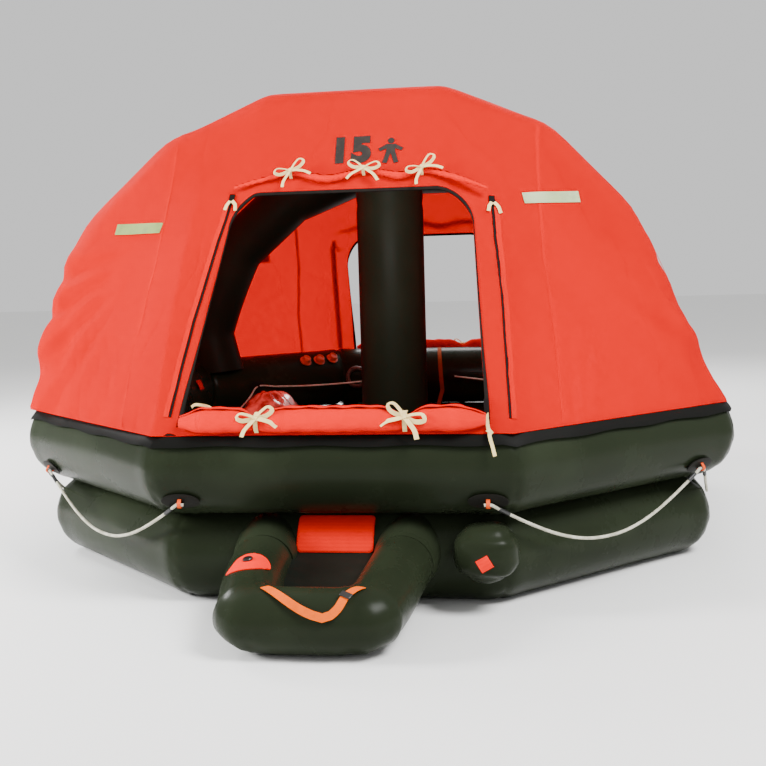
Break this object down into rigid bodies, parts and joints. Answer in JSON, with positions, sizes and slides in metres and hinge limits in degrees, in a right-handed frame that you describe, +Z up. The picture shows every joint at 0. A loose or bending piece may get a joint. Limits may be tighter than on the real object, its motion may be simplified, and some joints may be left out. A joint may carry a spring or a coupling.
{
  "type": "inflatable life raft",
  "caption": "Canopied inflatable life raft: two stacked black buoyancy rings, orange arched canopy with open doors, central column, grab lines and a boarding ramp.",
  "frame": {"origin": "on the ground, in the middle of the floor's underside, under the centre of the buoyancy rings", "axes": "+Z up; -Y towards the front door and its boarding ramp; +Y towards the rear door; +X to the right seen from the front door"},
  "size_m": [2.712, 3.7356, 1.73],
  "materials": {
    "tube_black": "satin coated cloth",
    "column_black": "satin coated cloth",
    "floor_black": "matt coated cloth",
    "canopy_orange": "matt coated cloth",
    "curtain_orange": "matt coated cloth",
    "hem_black": "matt tape",
    "grab_rope": "twisted fibre",
    "inner_rope": "braided fibre",
    "patch_black": "satin rubber",
    "cuff_black": "satin coated cloth",
    "pocket_cloth": "matt cloth",
    "deck_black": "matt coated cloth",
    "handle_orange": "woven webbing",
    "plate_orange": "satin",
    "sign_orange": "satin",
    "pouch_black": "satin coated cloth",
    "bag_pink": "glossy film",
    "quoit_rubber": "matt rubber",
    "ladder_webbing": "woven webbing"
  },
  "bodies": {
    "root": {"boarding_sign": "sign_orange", "canopy_corner_front_left": "canopy_orange", "canopy_corner_front_right": "canopy_orange", "canopy_corner_rear_left": "canopy_orange", "canopy_corner_rear_right": "canopy_orange", "canopy_front_panel": "canopy_orange", "canopy_hem_band": "hem_black", "canopy_rear_panel": "canopy_orange", "canopy_roof": "canopy_orange", "column": "column_black", "cylinder_head_pouch": "pouch_black", "equipment_bag": "bag_pink", "floor": "floor_black", "front_arch": "tube_black", "front_door_lower_roll": "curtain_orange", "front_door_upper_roll": "curtain_orange", "grab_line_front_left_to_left_front": "grab_rope", "grab_line_left_front_to_left_middle": "grab_rope", "grab_line_left_middle_to_left_rear": "grab_rope", "grab_line_left_rear_to_rear_left": "grab_rope", "grab_line_rear_right_to_right_rear": "grab_rope", "grab_line_right_front_to_front_right": "grab_rope", "grab_line_right_middle_to_right_front": "grab_rope", "grab_line_right_rear_to_right_middle": "grab_rope", "grab_patch_front_left": "patch_black", "grab_patch_front_right": "patch_black", "grab_patch_left_front": "patch_black", "grab_patch_left_middle": "patch_black", "grab_patch_left_rear": "patch_black", "grab_patch_rear_left": "patch_black", "grab_patch_rear_right": "patch_black", "grab_patch_right_front": "patch_black", "grab_patch_right_middle": "patch_black", "grab_patch_right_rear": "patch_black", "inner_line_left": "inner_rope", "inner_line_right": "inner_rope", "inner_patch_left_front": "patch_black", "inner_patch_left_middle": "patch_black", "inner_patch_left_rear": "patch_black", "inner_patch_right_front": "patch_black", "inner_patch_right_middle": "patch_black", "inner_patch_right_rear": "patch_black", "lower_buoyancy_tube": "tube_black", "ramp_cuff_left": "cuff_black", "ramp_cuff_right": "cuff_black", "ramp_deck": "deck_black", "ramp_handle": "handle_orange", "ramp_tube": "tube_black", "ramp_valve_plate": "plate_orange", "rear_arch": "tube_black", "rear_door_lower_roll": "curtain_orange", "rear_door_upper_roll": "curtain_orange", "rear_ladder": "ladder_webbing", "rescue_quoit": "quoit_rubber", "ridge_tube": "tube_black", "upper_buoyancy_tube": "tube_black", "water_pocket_front_left": "pocket_cloth", "water_pocket_front_right": "pocket_cloth", "water_pocket_rear_left": "pocket_cloth", "water_pocket_rear_right": "pocket_cloth"}
  },
  "joints": []
}
